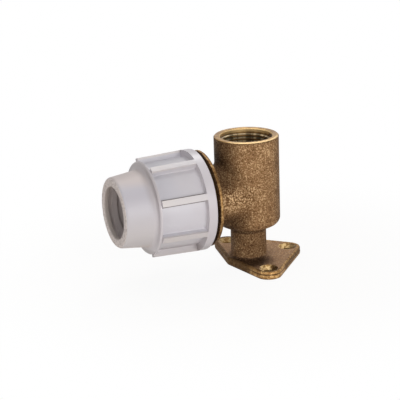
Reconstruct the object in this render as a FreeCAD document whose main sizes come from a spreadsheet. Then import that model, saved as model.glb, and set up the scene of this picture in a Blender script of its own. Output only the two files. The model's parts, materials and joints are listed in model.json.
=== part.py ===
import FreeCAD, Part
import math
import os
import Sketcher

# A wall plate elbow for plastic water pipe, in millimetres.
# A brass casting stands on a wall plate with three screw holes. Its threaded socket points up along +Z,
# and its branch points along -X to a compression joint: a spigot, a seal, a thrust ring, a split grip
# ring and the ribbed plastic nut that closes them on the pipe.
# The origin is on the socket's axis, at the face of the plate that lies on the wall.

# Two measures that differ by less than this are the same, and the angle of a full turn.
TOLERANCE = 0.001
FULL_TURN = 360

doc = FreeCAD.newDocument("wall_plate_elbow")
sheet = doc.addObject("Spreadsheet::Sheet", "Sizes")

# Driving dimensions: every size that can be set by itself.
DRIVING = {
    "plate_thickness": 3.8,
    "plate_edge_round": 0.9,
    "plate_corner_radius": 6.5,
    "plate_nose_reach": 12.0,
    "plate_nose_radius": 8.0,
    "side_screw_offset": 24.0,
    "side_screw_setback": 1.0,
    "back_screw_offset": 22.3,
    "screw_hole_diameter": 5.2,
    "countersink_diameter": 9.4,
    "countersink_angle": 90,
    "pillar_diameter": 18.2,
    "pillar_round": 1.5,
    "socket_thread_diameter": 26.44,
    "socket_thread_depth": 17.0,
    "socket_wall": 3.18,
    "socket_mouth_height": 67.0,
    "socket_bottom_drop": 2.2,
    "socket_bottom_round": 4.0,
    "socket_edge_chamfer": 0.5,
    "waterway_diameter": 22.0,
    "pipe_axis_height": 37.8,
    "branch_step": 1.2,
    "branch_blend": 2.5,
    "flange_distance": 24.5,
    "flange_thickness": 2.0,
    "flange_diameter": 48.0,
    "flange_root_round": 1.2,
    "pipe_diameter": 25.0,
    "pipe_clearance": 0.5,
    "seal_section": 3.6,
    "seal_clearance": 0.1,
    "spigot_wall": 2.5,
    "spigot_lead": 1.0,
    "spigot_thread_height": 1.4,
    "spigot_thread_length": 15.5,
    "shank_length": 5.5,
    "thread_clearance": 0.3,
    "thrust_nose_length": 4.0,
    "thrust_flange_thickness": 2.0,
    "thrust_flange_lip": 1.2,
    "thrust_nose_chamfer": 0.6,
    "nut_gap": 1.8,
    "grip_clearance": 0.3,
    "grip_length": 18.5,
    "grip_wall": 2.55,
    "grip_cone_angle": 7.0,
    "grip_end_land": 1.8,
    "grip_tooth_count": 6,
    "grip_tooth_height": 0.6,
    "grip_split_width": 2.5,
    "nut_step_clearance": 1.0,
    "nut_mouth_land": 2.2,
    "nut_mouth_clearance": 0.46,
    "nut_wall": 1.8,
    "nut_rim_thickness": 4.7,
    "nut_rim_round": 0.6,
    "nut_barrel_angle": 2.0,
    "nut_collar_length": 15.2,
    "nut_collar_wall": 1.87,
    "nut_shoulder_round": 1.1,
    "nut_collar_round": 1.5,
    "nut_collar_root_round": 2.4,
    "nut_front_ring": 1.2,
    "nut_front_step": 1.8,
    "pocket_depth": 3.3,
    "pocket_round": 0.4,
    "rib_count": 8,
    "rib_width": 3.2,
    "rib_start_angle": 19.5,
}

# Sizes that follow from them. Distances run along the pipe's axis from the socket's axis,
# and heights of a turned piece run along its own axis from its end nearest the socket.
DERIVED = {
    "pillar_radius": "pillar_diameter / 2",
    "plate_nose_centre": "plate_nose_reach - plate_nose_radius",
    "screw_hole_radius": "screw_hole_diameter / 2",
    "socket_thread_radius": "socket_thread_diameter / 2",
    "socket_radius": "socket_thread_radius + socket_wall",
    "socket_thread_bottom": "socket_mouth_height - socket_thread_depth",
    "waterway_radius": "waterway_diameter / 2",
    "waterway_top": "socket_thread_bottom - abs(socket_thread_radius - waterway_radius)",
    "branch_radius": "socket_radius - branch_step",
    "socket_bottom_height": "pipe_axis_height - branch_radius - socket_bottom_drop",
    "flange_radius": "flange_diameter / 2",
    "flange_front": "flange_distance + flange_thickness",
    "pipe_bore_radius": "pipe_diameter / 2 + pipe_clearance",
    "seal_section_radius": "seal_section / 2",
    "seal_middle_radius": "(pipe_diameter + seal_section) / 2",
    "chamber_radius": "pipe_diameter / 2 + seal_section + seal_clearance",
    "spigot_root_radius": "chamber_radius + spigot_wall",
    "spigot_nose_radius": "spigot_root_radius - spigot_lead",
    "shank_radius": "spigot_root_radius + spigot_thread_height",
    "shank_end": "flange_front + shank_length",
    "spigot_end": "shank_end + spigot_thread_length",
    "spigot_lead_start": "spigot_end - spigot_lead",
    "thrust_nose_start": "spigot_end - thrust_nose_length",
    "chamber_bottom": "thrust_nose_start - seal_section - seal_clearance",
    "seal_distance": "chamber_bottom + (seal_section + seal_clearance) / 2",
    "thrust_nose_radius": "chamber_radius - seal_clearance",
    "thrust_nose_tip_radius": "thrust_nose_radius - thrust_nose_chamfer",
    "thrust_flange_radius": "chamber_radius + thrust_flange_lip",
    "thrust_length": "thrust_nose_length + thrust_flange_thickness",
    "grip_start": "spigot_end + thrust_flange_thickness + nut_gap + grip_clearance",
    "grip_bore_radius": "pipe_bore_radius + grip_tooth_height",
    "grip_small_radius": "pipe_bore_radius + grip_wall",
    "grip_large_radius": "grip_small_radius + grip_length * tan(grip_cone_angle)",
    "grip_tooth_pitch": "(grip_length - 2 * grip_end_land) / grip_tooth_count",
    "grip_reach": "grip_large_radius + grip_split_width",
    "grip_half_split": "grip_split_width / 2",
    "nut_back": "flange_front + nut_gap",
    "nut_thread_radius": "shank_radius + thread_clearance",
    "nut_entry_radius": "nut_thread_radius + nut_rim_round",
    "nut_bore_depth": "shank_length + spigot_thread_length + nut_step_clearance",
    "nut_cone_end": "grip_start + grip_length + grip_clearance - nut_back",
    "nut_length": "nut_cone_end + nut_mouth_land",
    "nut_cone_small_radius": "grip_small_radius + grip_clearance",
    "nut_cone_length": "nut_cone_end - nut_bore_depth",
    "nut_cone_large_radius": "nut_cone_small_radius + nut_cone_length * tan(grip_cone_angle)",
    "nut_mouth_radius": "pipe_diameter / 2 + nut_mouth_clearance",
    "nut_mouth_fall": "nut_mouth_land * tan(grip_cone_angle)",
    "nut_collar_mouth_radius": "nut_cone_small_radius + nut_collar_wall - nut_mouth_fall",
    "nut_collar_base_radius": "nut_collar_mouth_radius + nut_collar_length * tan(grip_cone_angle)",
    "nut_shoulder": "nut_length - nut_collar_length",
    "nut_rim_radius": "nut_thread_radius + nut_wall + pocket_depth",
    "pocket_front": "nut_shoulder - nut_front_ring",
    "pocket_fall": "(pocket_front - nut_rim_thickness) * tan(nut_barrel_angle)",
    "pocket_floor_back": "nut_rim_radius - pocket_depth",
    "pocket_floor_front": "pocket_floor_back - pocket_fall",
    "pocket_reach": "nut_rim_radius + pocket_depth",
    "rib_front_radius": "nut_rim_radius - pocket_fall",
    "nut_shoulder_radius": "pocket_floor_front + nut_front_step",
    "nut_shoulder_fillet": "min(nut_shoulder_round; nut_front_ring * 0.9)",
    "nut_shoulder_height": "nut_shoulder_radius - nut_collar_base_radius",
    "nut_collar_root_fillet": "min(nut_collar_root_round; nut_shoulder_height - nut_shoulder_fillet)",
    "pocket_fillet": "min(pocket_round; nut_front_step * 0.9)",
}


def fill_sheet():
    """Write each driving number and each derived formula in a cell with its name as alias."""
    cells = {name: str(value) for name, value in DRIVING.items()}
    cells.update({name: f"={formula}" for name, formula in DERIVED.items()})
    for row, (name, content) in enumerate(cells.items(), start=1):
        sheet.set(f"A{row}", name)
        sheet.setAlias(f"B{row}", name)
        sheet.set(f"B{row}", content)
    doc.recompute()


def bound(text):
    """The name of a size stands for its cell; a longer expression is used as it is written."""
    is_name = text in DRIVING or text in DERIVED
    return f"Sizes.{text}" if is_name else text


def new_sketch(body, name, plane_role):
    """An empty sketch on one of the body's own origin planes."""
    sketch = body.newObject("Sketcher::SketchObject", name)
    plane = next(item for item in body.Origin.OriginFeatures if item.Role == plane_role)
    sketch.AttachmentSupport = (plane, [""])
    sketch.MapMode = "FlatFace"
    return sketch


def pin_point(sketch, geometry, point, across, up):
    """Fix one point of a sketch at two expressions, on an axis where the expression is 0."""
    for kind, axis, text in (("DistanceX", -2, across), ("DistanceY", -1, up)):
        if text == "0":
            sketch.addConstraint(Sketcher.Constraint("PointOnObject", geometry, point, axis))
            continue
        value = float(sketch.evalExpression(bound(text)))
        index = sketch.addConstraint(Sketcher.Constraint(kind, -1, 1, geometry, point, value))
        sketch.setExpression(f"Constraints[{index}]", bound(text))


def draw_profile(sketch, corners):
    """A closed profile of straight lines whose corners lie at pairs of expressions."""
    points = []
    for across, up in corners:
        x = float(sketch.evalExpression(bound(across)))
        y = float(sketch.evalExpression(bound(up)))
        points.append(FreeCAD.Vector(x, y, 0))
    count = len(points)
    for index in range(count):
        sketch.addGeometry(Part.LineSegment(points[index], points[(index + 1) % count]), False)
    for index in range(count):
        sketch.addConstraint(Sketcher.Constraint("Coincident", index, 2, (index + 1) % count, 1))
    for index, (across, up) in enumerate(corners):
        pin_point(sketch, index, 1, across, up)


def draw_circle(sketch, across, up, radius):
    """A circle with its centre and radius at expressions."""
    x = float(sketch.evalExpression(bound(across)))
    y = float(sketch.evalExpression(bound(up)))
    size = float(sketch.evalExpression(bound(radius)))
    circle = Part.Circle(FreeCAD.Vector(x, y, 0), FreeCAD.Vector(0, 0, 1), size)
    geometry = sketch.addGeometry(circle, False)
    index = sketch.addConstraint(Sketcher.Constraint("Radius", geometry, size))
    sketch.setExpression(f"Constraints[{index}]", bound(radius))
    pin_point(sketch, geometry, 3, across, up)


def draw_rounded_outline(sketch, corners):
    """An outline of corner arcs joined by tangent lines, from (across, up, radius) counter-clockwise."""
    centres = []
    radii = []
    for across, up, radius in corners:
        x = float(sketch.evalExpression(bound(across)))
        y = float(sketch.evalExpression(bound(up)))
        centres.append(FreeCAD.Vector(x, y, 0))
        radii.append(float(sketch.evalExpression(bound(radius))))
    count = len(corners)
    normals = []
    for index in range(count):
        after = (index + 1) % count
        run = centres[after] - centres[index]
        lean = (radii[index] - radii[after]) / run.Length
        run.normalize()
        outward = FreeCAD.Vector(run.y, -run.x, 0)
        normals.append(outward * math.sqrt(1 - lean ** 2) + run * lean)
    for index in range(count):
        start = normals[index - 1]
        end = normals[index]
        circle = Part.Circle(centres[index], FreeCAD.Vector(0, 0, 1), radii[index])
        first = math.atan2(start.y, start.x)
        sweep = (math.atan2(end.y, end.x) - first) % (2 * math.pi)
        sketch.addGeometry(Part.ArcOfCircle(circle, first, first + sweep), False)
    for index in range(count):
        after = (index + 1) % count
        line_start = centres[index] + normals[index] * radii[index]
        line_end = centres[after] + normals[index] * radii[after]
        sketch.addGeometry(Part.LineSegment(line_start, line_end), False)
    for index, (across, up, radius) in enumerate(corners):
        number = sketch.addConstraint(Sketcher.Constraint("Radius", index, radii[index]))
        sketch.setExpression(f"Constraints[{number}]", bound(radius))
        pin_point(sketch, index, 3, across, up)
    for index in range(count):
        line = count + index
        sketch.addConstraint(Sketcher.Constraint("Tangent", index, 2, line, 1))
        sketch.addConstraint(Sketcher.Constraint("Tangent", line, 2, (index + 1) % count, 1))


def turn(body, name, feature_type, sketch, axis):
    """Revolve a sketch by a full turn about one of its own axes, to add or to cut."""
    feature = body.newObject(feature_type, name)
    feature.Profile = sketch
    feature.ReferenceAxis = (sketch, [axis])
    feature.Angle = FULL_TURN
    doc.recompute()
    return feature


def turn_on_socket_axis(body, name, feature_type, corners):
    """Revolve a profile of (radius, height) about the socket's upright axis."""
    sketch = new_sketch(body, f"{name}_profile", "XZ_Plane")
    draw_profile(sketch, corners)
    return turn(body, name, feature_type, sketch, "V_Axis")


def turn_on_pipe_axis(body, name, feature_type, corners):
    """Revolve a profile of (distance, radius) about the pipe's axis, which runs along -X."""
    sketch = new_sketch(body, f"{name}_profile", "XZ_Plane")
    half_turn = FreeCAD.Rotation(FreeCAD.Vector(0, 1, 0), 180)
    sketch.AttachmentOffset = FreeCAD.Placement(FreeCAD.Vector(0, 0, 0), half_turn)
    sketch.setExpression("AttachmentOffset.Base.y", bound("pipe_axis_height"))
    doc.recompute()
    draw_profile(sketch, corners)
    return turn(body, name, feature_type, sketch, "H_Axis")


def ring_edges(feature, radius, centre):
    """Names of the circular edges with this radius about this centre."""
    names = []
    for number, edge in enumerate(feature.Shape.Edges, start=1):
        if edge.Degenerated or not isinstance(edge.Curve, Part.Circle):
            continue
        circle = edge.Curve
        if abs(circle.Radius - radius) < TOLERANCE and (circle.Center - centre).Length < TOLERANCE:
            names.append(f"Edge{number}")
    return names


def dress(body, name, feature_type, base, edges, size):
    """A Fillet or a Chamfer of one size on the named edges of the base."""
    feature = body.newObject(feature_type, name)
    feature.Base = (base, edges)
    length = "Radius" if feature_type == "PartDesign::Fillet" else "Size"
    feature.setExpression(length, bound(size))
    doc.recompute()
    return feature


def up(height):
    """The point on the socket's axis at a height."""
    return FreeCAD.Vector(0, 0, height)


def along_pipe(distance):
    """The point on the pipe's axis at a distance from the socket's axis."""
    return FreeCAD.Vector(-distance, 0, sheet.pipe_axis_height)


def make_plate(body):
    """The kite-shaped wall plate, with its top edge rounded."""
    outline = new_sketch(body, "plate_outline", "XY_Plane")
    draw_rounded_outline(outline, [
        ("back_screw_offset", "0", "plate_corner_radius"),
        ("-Sizes.side_screw_setback", "side_screw_offset", "plate_corner_radius"),
        ("-Sizes.plate_nose_centre", "0", "plate_nose_radius"),
        ("-Sizes.side_screw_setback", "-Sizes.side_screw_offset", "plate_corner_radius"),
    ])
    plate = body.newObject("PartDesign::Pad", "plate")
    plate.Profile = outline
    plate.setExpression("Length", bound("plate_thickness"))
    doc.recompute()
    top_edges = []
    for number, edge in enumerate(plate.Shape.Edges, start=1):
        if abs(edge.BoundBox.ZMin - sheet.plate_thickness) < TOLERANCE:
            top_edges.append(f"Edge{number}")
    dress(body, "plate_edge", "PartDesign::Fillet", plate, top_edges, "plate_edge_round")


def make_column(body):
    """The pillar and the outside of the socket, turned about the socket's axis."""
    column = turn_on_socket_axis(body, "column", "PartDesign::Revolution", [
        ("0", "0"),
        ("pillar_radius", "0"),
        ("pillar_radius", "socket_bottom_height"),
        ("socket_radius", "socket_bottom_height"),
        ("socket_radius", "socket_mouth_height"),
        ("0", "socket_mouth_height"),
    ])
    pillar_ends = ring_edges(column, sheet.pillar_radius, up(sheet.plate_thickness))
    pillar_ends += ring_edges(column, sheet.pillar_radius, up(sheet.socket_bottom_height))
    pillar = dress(body, "pillar_rounds", "PartDesign::Fillet", column, pillar_ends, "pillar_round")
    bottom = ring_edges(pillar, sheet.socket_radius, up(sheet.socket_bottom_height))
    dress(body, "socket_bottom", "PartDesign::Fillet", pillar, bottom, "socket_bottom_round")


def blend_edges(feature):
    """Names of the edges where the branch runs into the socket."""
    names = []
    for number, edge in enumerate(feature.Shape.Edges, start=1):
        box = edge.BoundBox
        near_socket = -box.XMin < sheet.socket_radius + TOLERANCE and box.XMax < -TOLERANCE
        on_branch = all(
            abs(math.hypot(point.y, point.z - sheet.pipe_axis_height) - sheet.branch_radius) < TOLERANCE
            for point in edge.discretize(5))
        if near_socket and on_branch:
            names.append(f"Edge{number}")
    return names


def make_branch(body):
    """The branch, flange disc and spigot, turned about the pipe's axis and blended into the socket."""
    branch = turn_on_pipe_axis(body, "branch", "PartDesign::Revolution", [
        ("0", "0"),
        ("0", "branch_radius"),
        ("flange_distance", "branch_radius"),
        ("flange_distance", "flange_radius"),
        ("flange_front", "flange_radius"),
        ("flange_front", "shank_radius"),
        ("shank_end", "shank_radius"),
        ("shank_end", "spigot_root_radius"),
        ("spigot_lead_start", "spigot_root_radius"),
        ("spigot_end", "spigot_nose_radius"),
        ("spigot_end", "0"),
    ])
    blend = dress(body, "branch_blend", "PartDesign::Fillet", branch, blend_edges(branch), "branch_blend")
    root = ring_edges(blend, sheet.branch_radius, along_pipe(sheet.flange_distance))
    dress(body, "flange_root", "PartDesign::Fillet", blend, root, "flange_root_round")


def make_waterway(body):
    """The threaded bore, the pipe's bore with its seal chamber, and the round turn between them."""
    turn_on_socket_axis(body, "socket_bore", "PartDesign::Groove", [
        ("0", "pipe_axis_height"),
        ("waterway_radius", "pipe_axis_height"),
        ("waterway_radius", "waterway_top"),
        ("socket_thread_radius", "socket_thread_bottom"),
        ("socket_thread_radius", "socket_mouth_height"),
        ("0", "socket_mouth_height"),
    ])
    turn_on_pipe_axis(body, "pipe_bore", "PartDesign::Groove", [
        ("0", "0"),
        ("0", "waterway_radius"),
        ("flange_distance", "waterway_radius"),
        ("flange_distance", "pipe_bore_radius"),
        ("chamber_bottom", "pipe_bore_radius"),
        ("chamber_bottom", "chamber_radius"),
        ("spigot_end", "chamber_radius"),
        ("spigot_end", "0"),
    ])
    ball = body.newObject("PartDesign::SubtractiveSphere", "waterway_turn")
    ball.setExpression("Radius", bound("waterway_radius"))
    ball.setExpression("Placement.Base.z", bound("pipe_axis_height"))
    doc.recompute()
    rim = ring_edges(ball, sheet.socket_thread_radius, up(sheet.socket_mouth_height))
    rim += ring_edges(ball, sheet.socket_radius, up(sheet.socket_mouth_height))
    dress(body, "socket_rim", "PartDesign::Chamfer", ball, rim, "socket_edge_chamfer")


def make_screw_holes(body):
    """The three countersunk holes in the plate."""
    marks = new_sketch(body, "screw_marks", "XY_Plane")
    marks.setExpression("AttachmentOffset.Base.z", bound("plate_thickness"))
    doc.recompute()
    draw_circle(marks, "back_screw_offset", "0", "screw_hole_radius")
    draw_circle(marks, "-Sizes.side_screw_setback", "side_screw_offset", "screw_hole_radius")
    draw_circle(marks, "-Sizes.side_screw_setback", "-Sizes.side_screw_offset", "screw_hole_radius")
    doc.recompute()
    holes = body.newObject("PartDesign::Hole", "screw_holes")
    holes.Profile = marks
    holes.ThreadType = "None"
    holes.DepthType = "ThroughAll"
    holes.HoleCutType = "Countersink"
    holes.HoleCutCustomValues = True
    holes.setExpression("HoleCutCountersinkAngle", bound("countersink_angle"))
    holes.setExpression("Diameter", bound("screw_hole_diameter"))
    holes.setExpression("HoleCutDiameter", bound("countersink_diameter"))
    doc.recompute()


def make_elbow_body():
    """The brass casting with its turned bores."""
    body = doc.addObject("PartDesign::Body", "elbow_body")
    make_plate(body)
    make_column(body)
    make_branch(body)
    make_waterway(body)
    make_screw_holes(body)
    return body


def place_on_pipe_axis(body, distance, roll=0):
    """Stand a turned piece on the pipe's axis, pointing away from the socket, rolled by an angle."""
    lay_down = FreeCAD.Rotation(FreeCAD.Vector(0, 1, 0), -90)
    spin = FreeCAD.Rotation(FreeCAD.Vector(0, 0, 1), roll)
    body.Placement = FreeCAD.Placement(FreeCAD.Vector(0, 0, 0), lay_down * spin)
    body.setExpression("Placement.Base.x", f"-{bound(distance)}")
    body.setExpression("Placement.Base.z", bound("pipe_axis_height"))


def pocket_floor_edges(feature):
    """Names of the edges round the floors of the nut's pockets."""
    fall = math.tan(math.radians(sheet.nut_barrel_angle))
    names = []
    for number, edge in enumerate(feature.Shape.Edges, start=1):
        box = edge.BoundBox
        if box.ZMin < sheet.nut_rim_thickness - TOLERANCE or box.ZMax > sheet.pocket_front + TOLERANCE:
            continue
        on_floor = all(
            abs(math.hypot(point.x, point.y) + (point.z - sheet.nut_rim_thickness) * fall
                - sheet.pocket_floor_back) < TOLERANCE
            for point in edge.discretize(5))
        if on_floor:
            names.append(f"Edge{number}")
    return names


def make_nut():
    """The plastic nut: threaded bore, inner cone, tapered collar, front ring, and ribs between pockets."""
    body = doc.addObject("PartDesign::Body", "compression_nut")
    blank = turn_on_socket_axis(body, "nut_blank", "PartDesign::Revolution", [
        ("nut_entry_radius", "0"),
        ("nut_rim_radius", "0"),
        ("nut_rim_radius", "nut_rim_thickness"),
        ("rib_front_radius", "pocket_front"),
        ("nut_shoulder_radius", "pocket_front"),
        ("nut_shoulder_radius", "nut_shoulder"),
        ("nut_collar_base_radius", "nut_shoulder"),
        ("nut_collar_mouth_radius", "nut_length"),
        ("nut_mouth_radius", "nut_length"),
        ("nut_mouth_radius", "nut_cone_end"),
        ("nut_cone_small_radius", "nut_cone_end"),
        ("nut_cone_large_radius", "nut_bore_depth"),
        ("nut_thread_radius", "nut_bore_depth"),
        ("nut_thread_radius", "nut_rim_round"),
    ])
    pocket_profile = new_sketch(body, "pocket_profile", "XZ_Plane")
    draw_profile(pocket_profile, [
        ("pocket_floor_back", "nut_rim_thickness"),
        ("pocket_reach", "nut_rim_thickness"),
        ("pocket_reach", "pocket_front"),
        ("pocket_floor_front", "pocket_front"),
    ])
    pocket = body.newObject("PartDesign::Groove", "pocket")
    pocket.Profile = pocket_profile
    pocket.ReferenceAxis = (pocket_profile, ["V_Axis"])
    pocket.Midplane = True
    rib_angle = "2 * asin(Sizes.rib_width / (2 * Sizes.nut_rim_radius))"
    pocket.setExpression("Angle", f"{FULL_TURN} deg / Sizes.rib_count - {rib_angle}")
    doc.recompute()
    pockets = body.newObject("PartDesign::PolarPattern", "pockets")
    pockets.Originals = [pocket]
    pockets.Axis = (pocket_profile, ["V_Axis"])
    pockets.Angle = FULL_TURN
    pockets.setExpression("Occurrences", bound("rib_count"))
    body.Tip = pockets
    doc.recompute()
    floors = pocket_floor_edges(pockets)
    rounded = dress(body, "pocket_rounds", "PartDesign::Fillet", pockets, floors, "pocket_fillet")
    shoulder = ring_edges(rounded, sheet.nut_shoulder_radius, up(sheet.nut_shoulder))
    rounded = dress(body, "shoulder_round", "PartDesign::Fillet", rounded, shoulder, "nut_shoulder_fillet")
    root = ring_edges(rounded, sheet.nut_collar_base_radius, up(sheet.nut_shoulder))
    rounded = dress(body, "collar_root", "PartDesign::Fillet", rounded, root, "nut_collar_root_fillet")
    mouth = ring_edges(rounded, sheet.nut_collar_mouth_radius, up(sheet.nut_length))
    rounded = dress(body, "collar_mouth", "PartDesign::Fillet", rounded, mouth, "nut_collar_round")
    rim = ring_edges(rounded, sheet.nut_rim_radius, up(0))
    rim += ring_edges(rounded, sheet.nut_mouth_radius, up(sheet.nut_length))
    dress(body, "rim_rounds", "PartDesign::Fillet", rounded, rim, "nut_rim_round")
    place_on_pipe_axis(body, "nut_back", sheet.rib_start_angle + FULL_TURN / 2 / sheet.rib_count)
    return body


def make_grip_ring():
    """The split cone with teeth that lean towards the socket, so that the pipe slides in but not out."""
    body = doc.addObject("PartDesign::Body", "grip_ring")
    corners = [
        ("grip_bore_radius", "0"),
        ("grip_large_radius", "0"),
        ("grip_small_radius", "grip_length"),
        ("grip_bore_radius", "grip_length"),
        ("grip_bore_radius", "Sizes.grip_length - Sizes.grip_end_land"),
    ]
    for tooth in reversed(range(int(sheet.grip_tooth_count))):
        foot = f"Sizes.grip_end_land + {tooth} * Sizes.grip_tooth_pitch"
        corners.append(("pipe_bore_radius", foot))
        corners.append(("grip_bore_radius", foot))
    turn_on_socket_axis(body, "grip_cone", "PartDesign::Revolution", corners)
    slot = new_sketch(body, "split_outline", "XY_Plane")
    draw_profile(slot, [
        ("0", "-Sizes.grip_half_split"),
        ("grip_reach", "-Sizes.grip_half_split"),
        ("grip_reach", "grip_half_split"),
        ("0", "grip_half_split"),
    ])
    split = body.newObject("PartDesign::Pocket", "split")
    split.Profile = slot
    split.Type = "ThroughAll"
    split.Reversed = True
    doc.recompute()
    place_on_pipe_axis(body, "grip_start")
    return body


def make_thrust_ring():
    """The flanged ring that sits on the spigot's end and presses the seal into its chamber."""
    body = doc.addObject("PartDesign::Body", "thrust_ring")
    turn_on_socket_axis(body, "thrust_turning", "PartDesign::Revolution", [
        ("pipe_bore_radius", "0"),
        ("thrust_nose_tip_radius", "0"),
        ("thrust_nose_radius", "thrust_nose_chamfer"),
        ("thrust_nose_radius", "thrust_nose_length"),
        ("thrust_flange_radius", "thrust_nose_length"),
        ("thrust_flange_radius", "thrust_length"),
        ("pipe_bore_radius", "thrust_length"),
    ])
    place_on_pipe_axis(body, "thrust_nose_start")
    return body


def make_o_ring():
    """The round rubber seal at the bottom of the spigot's chamber."""
    body = doc.addObject("PartDesign::Body", "o_ring")
    section = new_sketch(body, "seal_section", "XZ_Plane")
    draw_circle(section, "seal_middle_radius", "0", "seal_section_radius")
    turn(body, "seal", "PartDesign::Revolution", section, "V_Axis")
    place_on_pipe_axis(body, "seal_distance")
    return body


def check_and_write(bodies):
    """Stop if any object failed or any solid is bad, then write one file for each sub-part."""
    failed = [item.Label for item in doc.Objects if "Invalid" in item.State or "Error" in item.State]
    if failed:
        raise RuntimeError(f"failed objects: {failed}")
    for body in bodies:
        if body.Shape.isNull() or not body.Shape.isValid():
            raise RuntimeError(f"bad solid: {body.Label}")
        if len(body.Shape.Solids) != 1:
            raise RuntimeError(f"not one solid: {body.Label}")
    os.makedirs("parts", exist_ok=True)
    for body in bodies:
        body.Shape.exportStep(f"parts/{body.Label}.step")
        print(body.Label, "volume", round(body.Shape.Volume, 1))


fill_sheet()
sub_parts = [make_elbow_body(), make_nut(), make_grip_ring(), make_thrust_ring(), make_o_ring()]
doc.recompute()
check_and_write(sub_parts)
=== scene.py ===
# %% [markdown]
# A wall plate elbow brings a plastic water pipe up to a tap. A brass casting is screwed to the wall by its
# plate. Its socket takes the tap's thread, and a ribbed plastic nut closes a joint on the pipe.
# The solids come from the packed part, at their real size and in metres. This lesson dresses them: it adds
# the screw threads and the rough casting edges as meshes, and gives every surface a finish made of nodes.

# %% Load the packed part
import json
import math

import bpy
import numpy as np
from mathutils import Matrix, Vector


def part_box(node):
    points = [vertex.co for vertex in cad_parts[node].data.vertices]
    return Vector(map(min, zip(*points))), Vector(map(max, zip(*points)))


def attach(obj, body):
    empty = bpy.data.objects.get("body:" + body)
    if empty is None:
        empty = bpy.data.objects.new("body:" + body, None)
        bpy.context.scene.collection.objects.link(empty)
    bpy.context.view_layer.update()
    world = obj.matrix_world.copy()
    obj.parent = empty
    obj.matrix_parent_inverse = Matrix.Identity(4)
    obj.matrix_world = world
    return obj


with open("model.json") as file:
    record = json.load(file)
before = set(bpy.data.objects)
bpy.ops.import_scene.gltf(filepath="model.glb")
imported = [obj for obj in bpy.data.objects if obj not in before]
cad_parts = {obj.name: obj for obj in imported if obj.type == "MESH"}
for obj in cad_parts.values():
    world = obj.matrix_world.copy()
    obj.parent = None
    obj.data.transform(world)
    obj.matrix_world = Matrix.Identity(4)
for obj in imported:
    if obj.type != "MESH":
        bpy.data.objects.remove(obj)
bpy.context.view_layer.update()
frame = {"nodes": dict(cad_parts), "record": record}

MM = 0.001
mounts = {mount["name"]: mount for mount in frame["record"]["mounts"]}

# %% [markdown]
# The camera stands where the photographer's stood: to the left of the front, a little above, and far away
# with a long lens, so that the lines of the nut hardly run together. Blender can aim a camera with a
# Track To constraint, but that leaves no say in how far the camera leans, so its three axes are worked out.

# %% Camera
VIEW_AZIMUTH = math.radians(-23.85)
VIEW_ELEVATION = math.radians(17.67)
VIEW_LEAN = math.radians(-2.06)
VIEW_DISTANCE = 658.44 * MM
VIEW_TARGET = Vector((-26.53, -0.08, 37.04)) * MM
FOCAL_LENGTH_IN_PIXELS = 1316.5
PICTURE_WIDTH_IN_PIXELS = 400

camera_data = bpy.data.cameras.new("camera")
camera_data.lens = camera_data.sensor_width * FOCAL_LENGTH_IN_PIXELS / PICTURE_WIDTH_IN_PIXELS
camera = bpy.data.objects.new("camera", camera_data)
bpy.context.scene.collection.objects.link(camera)
bpy.context.scene.camera = camera

level = math.cos(VIEW_ELEVATION)
back = Vector((math.sin(VIEW_AZIMUTH) * level, -math.cos(VIEW_AZIMUTH) * level, math.sin(VIEW_ELEVATION)))
right = Vector((math.cos(VIEW_AZIMUTH), math.sin(VIEW_AZIMUTH), 0))
above = back.cross(right)
camera_x = right * math.cos(VIEW_LEAN) + above * math.sin(VIEW_LEAN)
camera_y = above * math.cos(VIEW_LEAN) - right * math.sin(VIEW_LEAN)
stand = Matrix((camera_x, camera_y, back)).transposed().to_4x4()
stand.translation = VIEW_TARGET + back * VIEW_DISTANCE
camera.matrix_world = stand
print("lens", round(camera_data.lens, 1), "mm, camera at", [round(c, 3) for c in stand.translation])

# %% [markdown]
# A finish is a sum over the surface: this much grain, less where a tool has cut, more painted shade near the
# nut.
# Such sums can be drawn by hand as node links, but they read better as Python. One small class wraps a
# socket of a node tree and lets +, -, * and ** add the Math nodes. Its method node adds any node at all.

# %% Shader sums
class Field:
    """A value that may change over a surface: one socket of a node tree, which Python can do sums with."""

    def __init__(self, tree, socket=None):
        self.tree = tree
        self.socket = socket

    def node(self, kind, settings, inputs, output=0):
        """Add a node: its settings are set first, then the values or links of its sockets."""
        made = self.tree.nodes.new(kind)
        for name, value in settings.items():
            setattr(made, name, value)
        for name, value in inputs.items():
            if isinstance(value, Field):
                self.tree.links.new(value.socket, made.inputs[name])
            else:
                made.inputs[name].default_value = value
        return Field(self.tree, made.outputs[output] if made.outputs else None)

    def maths(self, operation, *values):
        """One Math node on values or fields."""
        return self.node("ShaderNodeMath", {"operation": operation}, dict(enumerate(values)))

    def __add__(self, other):
        return self.maths("ADD", self, other)

    def __sub__(self, other):
        return self.maths("SUBTRACT", self, other)

    def __rsub__(self, other):
        return self.maths("SUBTRACT", other, self)

    def __mul__(self, other):
        return self.maths("MULTIPLY", self, other)

    def __pow__(self, other):
        return self.maths("POWER", self, other)

    __radd__ = __add__
    __rmul__ = __mul__


print("a field knows", [name for name in vars(Field) if not name.startswith("__")], "and its sums")

# %% [markdown]
# Two kinds of helper stand on that class. A mask is a field from 0 to 1 that says where something is. A
# ColorRamp could shape it, but Map Range takes its limits as plain numbers, here in metres. In this lesson a
# named pair gives such limits: where the mask starts to change and where the change is complete. A colour is
# written as a screen shows it, because such numbers are easy to compare with a picture.

# %% Masks and colours
def rise(field, start, end):
    """0 before start, 1 after end, and between them 3 t^2 - 2 t^3 of the way t from start to end."""
    inputs = {"Value": field, "From Min": start, "From Max": end}
    return field.node("ShaderNodeMapRange", {"interpolation_type": "SMOOTHSTEP"}, inputs)


def fall(field, start, end):
    """1 before start and 0 after end: what a rise leaves over."""
    return 1 - rise(field, start, end)


def larger(first, *others):
    """The largest of some fields at each place: either mask, where masks overlap."""
    for other in others:
        first = first.maths("MAXIMUM", first, other)
    return first


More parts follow.
